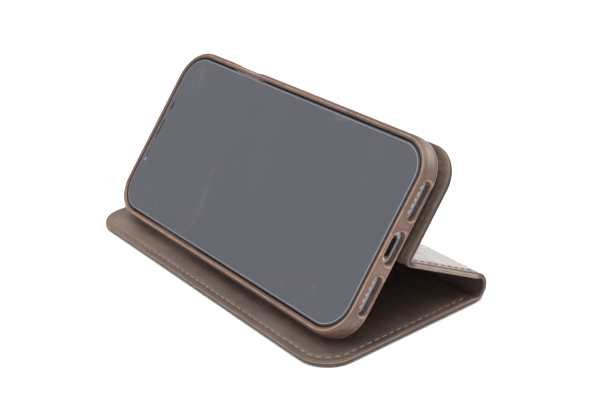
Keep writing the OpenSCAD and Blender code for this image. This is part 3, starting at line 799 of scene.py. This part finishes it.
# How far each seam stays from the fold beside it
COVER_SEAM_GAP = 3.4 * MM
CREASE_SEAM_GAP = 2.2 * MM
SPINE_SEAM_GAP = 2.6 * MM


def build_stitching():
    """The seams of the cover, the upper back and the two sides of the lower back."""
    a, r = PANEL_HALF - STITCH_IN, CORNER_R - STITCH_IN
    cover_run = run_points(a, COVER_L - COVER_SEAM_GAP - STITCH_IN, r, COVER_L - COVER_SEAM_GAP, -1)
    thread("cover_threads", cover_run, "cover", "cover_stitching", THREAD_IN)
    upper_from = CREASE_TO + CREASE_SEAM_GAP
    upper_run = run_points(a, STRIP_L - upper_from - STITCH_IN, r, upper_from, 1)
    thread("upper_back_threads", upper_run, "upper_back", "upper_back_stitching", THREAD_DULL)
    low, high = SPINE_END + SPINE_SEAM_GAP, CREASE_FROM - CREASE_SEAM_GAP
    count = int((high - low) // STITCH_PITCH)
    lower_run = [(side * a, low + (k + 0.5) * (high - low) / count, math.pi / 2)
                 for k in range(count) for side in (-1, 1)]
    thread("lower_back_threads", lower_run, "lower_back", "lower_back_stitching", THREAD_DULL)


# ---- tray ----

TRAY_HALF_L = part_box("tray_leather")[1].x
TRAY_LOW_V, TRAY_HIGH_V = screen_extent("tray_leather")[:2]
TRAY_HALF_W = (TRAY_HIGH_V - TRAY_LOW_V) / 2
TRAY_R = 14.45 * MM
MID_W = sum(screen_extent("phone_frame")[2:]) / 2
# Length and width of the port's and speakers' windows, and how far apart their middles are
PORT_CUT = (12.2 * MM, 5.8 * MM)
SPEAKER_CUT = (14.4 * MM, 4.0 * MM)
SPEAKER_OFF = 18 * MM
# Width of the keys' windows, and their room past the keys
KEY_CUT = 5.9 * MM
KEY_ROOM = 1.6 * MM


def outline_point(p, half_l, half_w, r):
    """Point and outward normal at length p round a rounded rectangle, from its +x side's middle."""
    a, b, q = half_l - r, half_w - r, math.pi / 2 * r
    total = 4 * a + 4 * b + 4 * q
    p = np.mod(p, total)
    marks = np.cumsum([b, q, 2 * a, q, 2 * b, q, 2 * a, q, b])
    x, v, nx, nv = (np.zeros_like(p) for _ in range(4))

    def put(where, px, pv, qx, qv):
        x[where], v[where], nx[where], nv[where] = px, pv, qx, qv

    def part(k):
        return (p >= marks[k]) & (p < marks[k + 1])

    m = p < marks[0]
    put(m, half_l, p[m], 1, 0)
    corners = ((0, a, b, 0), (2, -a, b, 1), (4, -a, -b, 2), (6, a, -b, 3))
    for k, cx, cv, quarter in corners:
        m = part(k)
        t = (p[m] - marks[k]) / r + quarter * math.pi / 2
        put(m, cx + r * np.cos(t), cv + r * np.sin(t), np.cos(t), np.sin(t))
    m = part(1)
    put(m, a - (p[m] - marks[1]), half_w, 0, 1)
    m = part(3)
    put(m, -half_l, b - (p[m] - marks[3]), -1, 0)
    m = part(5)
    put(m, -a + (p[m] - marks[5]), -half_w, 0, -1)
    m = p >= marks[7]
    put(m, half_l, -b + (p[m] - marks[7]), 1, 0)
    return x, v, nx, nv


def perimeter(half_l, half_w, r):
    """Length round a rounded rectangle."""
    return 4 * (half_l - r) + 4 * (half_w - r) + 2 * math.pi * r


# (inset from the tray's outline, height) from inside the rim, over it, down the wall, under it
TRAY_PROFILE = np.array([
    (2.8, -1.1), (2.79, -0.7), (2.7, -0.34), (2.48, -0.1), (2.15, 0.0), (1.75, -0.02), (1.35, -0.12),
    (1.02, -0.32), (0.78, -0.62), (0.6, -1.0), (0.44, -1.6), (0.28, -2.4), (0.13, -3.3), (0.03, -4.2),
    (0.0, -5.0), (0.09, -5.7), (0.22, -6.15), (0.34, -6.5), (0.45, -6.75), (0.56, -7.0), (0.75, -7.3),
    (1.35, -8.0), (2.15, -8.65), (3.2, -9.12), (4.4, -9.3)]) * MM
# The profile's first point past the rim's top
OUTER_FROM = 5
# Height from the rim, proudness and half width of the ridge near the wall's rear edge
RIDGE_W = -6.5 * MM
RIDGE_PROUD = 0.22 * MM
RIDGE_HALF = 0.3 * MM
# How much wider the cut-outs are at the surface, all round
FLARE = 0.45 * MM
# How deep their edges roll in, and over what width
ROLL = 0.32 * MM
ROLL_W = 0.5 * MM
# Depth from the outline at which their walls end
TUNNEL_END = 1.7 * MM
# Lines round the tray, where on its outline they start, and their room at a cut-out
TRAY_LINES = 300
SEAM_AT = 0.31
CUT_ROOM = 0.62 * MM
PROFILE_Q = np.concatenate([[0], np.cumsum(np.hypot(*np.diff(TRAY_PROFILE, axis=0).T))])


def inset_at(q):
    """The profile's inset at length q along it."""
    return np.interp(q, PROFILE_Q, TRAY_PROFILE[:, 0])


def height_at(q):
    """The profile's height at length q along it."""
    return np.interp(q, PROFILE_Q, TRAY_PROFILE[:, 1])


def wall_q(w):
    """Length along the tray's profile at height w, on its outer wall."""
    outer = TRAY_PROFILE[OUTER_FROM:, 1][::-1]
    return np.interp(w, outer, PROFILE_Q[OUTER_FROM:][::-1])


def windows():
    """The wall's cut-outs as (place along the outline, half its straight length, radius)."""
    b, q = TRAY_HALF_W - TRAY_R, math.pi / 2 * TRAY_R
    a = TRAY_HALF_L - TRAY_R
    total = perimeter(TRAY_HALF_L, TRAY_HALF_W, TRAY_R)
    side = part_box("side_button")
    side_x, side_l = (side[0].x + side[1].x) / 2, side[1].x - side[0].x + 2 * KEY_ROOM
    low_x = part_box("ring_switch")[0].x - KEY_ROOM
    high_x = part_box("volume_down_button")[1].x + KEY_ROOM
    ends = ((0.0, PORT_CUT), (SPEAKER_OFF, SPEAKER_CUT), (total - SPEAKER_OFF, SPEAKER_CUT))
    out = [(place, (length - width) / 2, width / 2) for place, (length, width) in ends]
    top = b + q + (a - side_x)
    out.append((top, (side_l - KEY_CUT) / 2, KEY_CUT / 2))
    bottom = b + q + 2 * a + q + 2 * b + q + ((low_x + high_x) / 2 + a)
    out.append((bottom, (high_x - low_x - KEY_CUT) / 2, KEY_CUT / 2))
    return out


def slot_distance(dp, dw, half, radius):
    """Signed distance outside a slot's outline."""
    return np.hypot(np.maximum(np.abs(dp) - half, 0), dw) - radius


def cdt(points_2d, loops):
    """Triangles over 2D points, with closed loops of their indices as edges. It works in mm."""
    edges = [(loop[k], loop[(k + 1) % len(loop)]) for loop in loops for k in range(len(loop))]
    in_mm = [Vector(p) for p in np.asarray(points_2d) * 1000]
    verts, _, faces, *_ = delaunay_2d_cdt(in_mm, edges, [], 0, 1e-7)
    return np.array([tuple(v) for v in verts]) / 1000, [tuple(f) for f in faces]


def build_tray():
    """The tray's leather: rim, wall with rolled cut-outs, rounded rear edge and back."""
    total = perimeter(TRAY_HALF_L, TRAY_HALF_W, TRAY_R)
    seam = total * SEAM_AT
    lines = seam + np.linspace(0, total, TRAY_LINES + 1)
    placed = [((place - seam) % total + seam, half, radius + FLARE) for place, half, radius in windows()]

    def gap_to_cuts(p, q):
        side = q > PROFILE_Q[OUTER_FROM]
        best = np.full(np.shape(p), 1.0)
        for place, half, radius in placed:
            d = slot_distance(p - place, height_at(q) - MID_W, half, radius)
            best = np.where(side, np.minimum(best, d), best)
        return best

    grid = np.array([(p, q) for p in lines for q in PROFILE_Q])
    gaps = gap_to_cuts(grid[:, 0], grid[:, 1])
    kept = [tuple(p) for p in grid[gaps > CUT_ROOM]]
    loops = []
    for place, half, radius in placed:
        for out in (0.0, 0.14, 0.32, 0.5):
            ring = stadium(half, radius + out * MM, 16)
            q = wall_q(ring[:, 1] + MID_W)
            first = len(kept)
            kept += list(zip(ring[:, 0] + place, q))
            loops.append(list(range(first, first + len(ring))))
    flat, tris = cdt(kept, loops)
    centres = flat[np.array(tris)].mean(1)
    holes = gap_to_cuts(centres[:, 0], centres[:, 1]) < -1e-6
    tris = [t for t, hole in zip(tris, holes) if not hole]
    p, q = flat[:, 0], flat[:, 1]
    x, v, nx, nv = outline_point(p, TRAY_HALF_L, TRAY_HALF_W, TRAY_R)
    gap = gap_to_cuts(p, q)
    roll = ROLL * np.clip(1 - gap / ROLL_W, 0, 1) ** 2
    ridge = RIDGE_PROUD * np.exp(-((q - wall_q(RIDGE_W)) / RIDGE_HALF) ** 2)
    depth = inset_at(q) + roll - ridge
    # Where the pale edge colour falls: the rim's crest and the cut-outs' edges as painted highlight with
    # some wear, the rear ridge as painted highlight alone.
    rim_wear_and_highlight = np.abs(q - wall_q(-0.02 * MM)) * 1.5 + 0.12 * MM
    ridge_highlight = np.abs(q - wall_q(RIDGE_W)) * 1.1
    edge_tint = [np.minimum(np.maximum(gap, 0), np.minimum(rim_wear_and_highlight, ridge_highlight))]
    verts = [on_screen(x - nx * depth, v - nv * depth, height_at(q))]
    uv = [np.stack([p, q], -1)]
    faces = [tuple(int(i) for i in t) for t in tris]
    index = len(p)
    # the walls of the cut-outs, from the rolled edge inwards
    for place, half, radius in placed:
        rows = []
        for share in (0.0, 0.2, 0.6, 1.0):
            ring = stadium(half, radius - FLARE * min(share / 0.6, 1), 16)
            pr, wr = ring[:, 0] + place, ring[:, 1] + MID_W
            x, v, nx, nv = outline_point(pr, TRAY_HALF_L, TRAY_HALF_W, TRAY_R)
            surface = inset_at(wall_q(wr)) + ROLL
            depth = surface + (TUNNEL_END - surface) * share
            verts.append(on_screen(x - nx * depth, v - nv * depth, wr))
            # The walls take the pale edge colour near their mouths: painted light against the shade inside
            # the cut-outs.
            edge_tint.append(np.full(len(pr), 0.02 * MM + share * 1.2 * MM))
            uv.append(np.stack([pr, wr - share * MM], -1))
            rows.append(np.arange(index, index + len(pr)))
            index += len(pr)
        for one, other in zip(rows, rows[1:]):
            for k in range(len(one)):
                n = (k + 1) % len(one)
                faces.append((int(one[k]), int(one[n]), int(other[n]), int(other[k])))
    wall = make_mesh("tray_skin", np.concatenate(verts), faces, [TRAY_LEATHER], None,
                     {"inset": np.concatenate(edge_tint)}, np.concatenate(uv))
    tidy_normals(wall)
    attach(wall, "upper_back")
    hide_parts("tray_leather")
    build_tray_back()


def tidy_normals(obj):
    """Welds seams, and turns all faces outwards."""
    bm = bmesh.new()
    bm.from_mesh(obj.data)
    bmesh.ops.remove_doubles(bm, verts=bm.verts, dist=1e-6)
    bmesh.ops.recalc_face_normals(bm, faces=bm.faces)
    bm.to_mesh(obj.data)
    bm.free()


def build_tray_back():
    """The tray's flat back, with the camera's slot."""
    inset = TRAY_PROFILE[-1][0]
    half_l, half_w, r = TRAY_HALF_L - inset, TRAY_HALF_W - inset, TRAY_R - inset
    p = np.linspace(0, perimeter(half_l, half_w, r), 160, endpoint=False)
    x, v, *_ = outline_point(p, half_l, half_w, r)
    length, width = CAMERA_WINDOW[0] - MM, CAMERA_WINDOW[1] - MM
    half, radius = (length - width) / 2, width / 2
    middle = np.array([CAMERA_X, CAMERA_V])
    slot = stadium(half, radius, 24) + middle

    def from_slot(places):
        return slot_distance(*(places - middle).T, half, radius)

    inner = np.array([(i * 5 * MM, j * 5 * MM) for i in range(-13, 14) for j in range(-6, 7)])
    inner = inner[from_slot(inner) > 1.5 * MM]
    loops = [list(range(len(x))), list(range(len(x), len(x) + len(slot)))]
    flat, tris = cdt(np.concatenate([np.stack([x, v], -1), slot, inner]), loops)
    holes = from_slot(flat[np.array(tris)].mean(1)) < 0
    faces = [tuple(int(i) for i in t)[::-1] for t, hole in zip(tris, holes) if not hole]
    verts = on_screen(flat[:, 0], flat[:, 1], TRAY_PROFILE[-1][1])
    back = make_mesh("tray_back_skin", verts, faces, [TRAY_LEATHER], None,
                     {"inset": np.full(len(flat), 9 * MM)}, flat)
    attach(back, "upper_back")


# ---- handset ----

GLASS_R = 10.5 * MM
# How far the glass reaches past the CAD's, over the frame's edge
LIP = 0.5 * MM
# The rolled edge's depth and drop, as shares of the glass's thickness
EDGE_ROLL = (1.1, 0.75)
SENSOR_R = 1.02 * MM


def screen_holes():
    """Outlines of the earpiece slot and, after it, of the four sensor holes."""
    low_x, high_x = (c.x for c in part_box("earpiece_grille"))
    ear_x = (low_x + high_x) / 2
    ear_r = (high_x - low_x) / 2 + 0.02 * MM
    low_v, high_v = screen_extent("earpiece_grille")[:2]
    slot = stadium((high_v - low_v) / 2 - ear_r, ear_r)[:, ::-1] + np.array([ear_x, 0])
    return [slot] + [stadium(0, SENSOR_R, 9) + np.array([ear_x, v]) for v in sensor_places()]


def build_screen():
    """The front glass, its edge rolled down to the steel frame, with the earpiece and sensor holes."""
    low_v, high_v, low, high = screen_extent("phone_front_glass")
    half_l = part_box("phone_front_glass")[1].x + LIP
    half_w = (high_v - low_v) / 2 + LIP
    r, t, count = GLASS_R + LIP, high - low, 200
    curve = [(EDGE_ROLL[0] * t * (1 - math.cos(a)), high - EDGE_ROLL[1] * t * (1 - math.sin(a)))
             for a in np.radians([0, 15, 30, 45, 60, 75, 90])]
    profile = [(0.3 * MM, low), (0.05 * MM, low + 0.1 * t)] + curve
    p = np.linspace(0, perimeter(half_l, half_w, r), count, endpoint=False)
    x, v, nx, nv = outline_point(p, half_l, half_w, r)
    verts = [on_screen(x - nx * i, v - nv * i, w) for i, w in profile[:-1]]
    faces, kinds = [], []

    def wall(first, second, size, kind=0):
        for k in range(size):
            m = (k + 1) % size
            faces.append((first + k, first + m, second + m, second + k))
            kinds.append(kind)

    # The upper rows of the rolled edge, and the step onto the top face, take the painted highlight.
    for k in range(len(profile) - 2):
        wall(k * count, (k + 1) * count, count, 1 if k > 3 else 0)
    # the top face, with the holes
    inset = profile[-1][0]
    outline = np.stack([x - nx * inset, v - nv * inset], -1)
    holes = screen_holes()
    loops, start = [list(range(count))], count
    for hole in holes:
        loops.append(list(range(start, start + len(hole))))
        start += len(hole)
    flat, tris = cdt(np.concatenate([outline] + holes), loops)
    base = sum(len(v) for v in verts)
    verts.append(on_screen(flat[:, 0], flat[:, 1], high))
    for tri in tris:
        if not any(set(tri) <= set(loop) for loop in loops[1:]):
            faces.append(tuple(base + int(i) for i in tri))
            kinds.append(0)
    wall((len(profile) - 2) * count, base, count, 1)
    top = base + len(flat)
    for loop, hole in zip(loops[1:], holes):
        verts.append(on_screen(hole[:, 0], hole[:, 1], low))
        wall(base + loop[0], top, len(hole))
        top += len(hole)
    # a lens just under the surface in each sensor hole
    for hole in holes[1:]:
        verts.append(on_screen(hole[:, 0], hole[:, 1], high - 0.1 * MM))
        faces.append(tuple(range(top, top + len(hole))))
        kinds.append(2)
        top += len(hole)
    glass = make_mesh("front_glass_skin", np.concatenate(verts), faces,
                      [GLASS_PAINTED_REFLECTION, GLASS_EDGE_HIGHLIGHT, SENSOR_LENS], kinds)
    tidy_normals(glass)
    for polygon in glass.data.polygons:
        polygon.use_smooth = abs(Vector(SCREEN_OUT).dot(polygon.normal)) < 0.999
    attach(glass, "phone")
    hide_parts("phone_front_glass")


def sensor_places():
    """Places of the four front sensors across the handset, from the gaps in their vertices."""
    across = np.sort((points("front_sensors") - RIM) @ SCREEN_UP)
    parts = np.split(across, np.where(np.diff(across) > 2 * MM)[0] + 1)
    return [float(part.min() + part.max()) / 2 for part in parts]


# ---- stage ----

def area_light(name, place, target, size, watts, colour=(1, 1, 1)):
    """A soft light at a place, turned towards a target."""
    data = bpy.data.lights.new(name, "AREA")
    data.shape = "RECTANGLE"
    data.size, data.size_y = size
    data.energy = watts
    data.color = colour
    obj = bpy.data.objects.new(name, data)
    bpy.context.scene.collection.objects.link(obj)
    obj.location = place
    obj.rotation_mode = "QUATERNION"
    obj.rotation_quaternion = (Vector(target) - Vector(place)).to_track_quat("-Z", "Y")


def build_stage():
    """White floor and soft studio light."""
    half = 3.0
    n = Nodes("floor_white")
    n.shade(Base_Color=(0.93, 0.93, 0.93, 1), Roughness=0.9, Specular_IOR_Level=0.05,
            Normal=n.bump(n.noise(n.place(), 60.0), 0.02, 0.0002))
    floor = make_mesh("floor", [(-half, -half, 0), (half, -half, 0), (half, half, 0), (-half, half, 0)],
                      [(0, 1, 2, 3)], [n.material])
    floor.location.z = -0.0002
    world = bpy.data.worlds.new("studio")
    bpy.context.scene.world = world
    world.use_nodes = True
    sky = world.node_tree.nodes["Background"].inputs
    sky["Color"].default_value = (1, 1, 1, 1)
    sky["Strength"].default_value = 0.68
    area_light("overhead", (0.0, -0.1, 1.2), (0, 0, 0.03), (1.1, 1.1), 17.0)
    area_light("left_front", (-0.2, -1.0, 0.75), (0, 0, 0.03), (0.7, 0.5), 6.5)
    area_light("rear", (0.3, 0.95, 0.5), (0, 0, 0.03), (0.9, 0.6), 7.0)
    area_light("side_fill", (0.95, -0.25, 0.2), (0, 0.01, 0.015), (0.5, 0.3), 1.6, (0.84, 0.87, 1.0))
    bpy.context.scene.view_settings.view_transform = "Standard"


# The camera's place and aim, from the middle of the tray's rim
CAMERA_FROM_RIM = Vector((0.3188, -0.2242, 0.1747))
AIM_FROM_RIM = Vector((0.0131, 0.0107, -0.0082))
CAMERA_ROLL = math.radians(-1.86)
CAMERA_LENS = 67.26


def build_camera():
    """The camera, fitted to the photo's view."""
    data = bpy.data.cameras.new("camera")
    data.lens = CAMERA_LENS
    data.sensor_width = 36
    data.clip_start = 0.01
    camera = bpy.data.objects.new("camera", data)
    bpy.context.scene.collection.objects.link(camera)
    camera.location = Vector(RIM) + CAMERA_FROM_RIM
    look = (AIM_FROM_RIM - CAMERA_FROM_RIM).to_track_quat("-Z", "Y")
    camera.rotation_mode = "QUATERNION"
    camera.rotation_quaternion = look @ Matrix.Rotation(CAMERA_ROLL, 3, "Z").to_quaternion()
    bpy.context.scene.camera = camera


build_camera()
build_stage()
finish_nodes()
build_leather()
build_stitching()
build_tray()
build_screen()
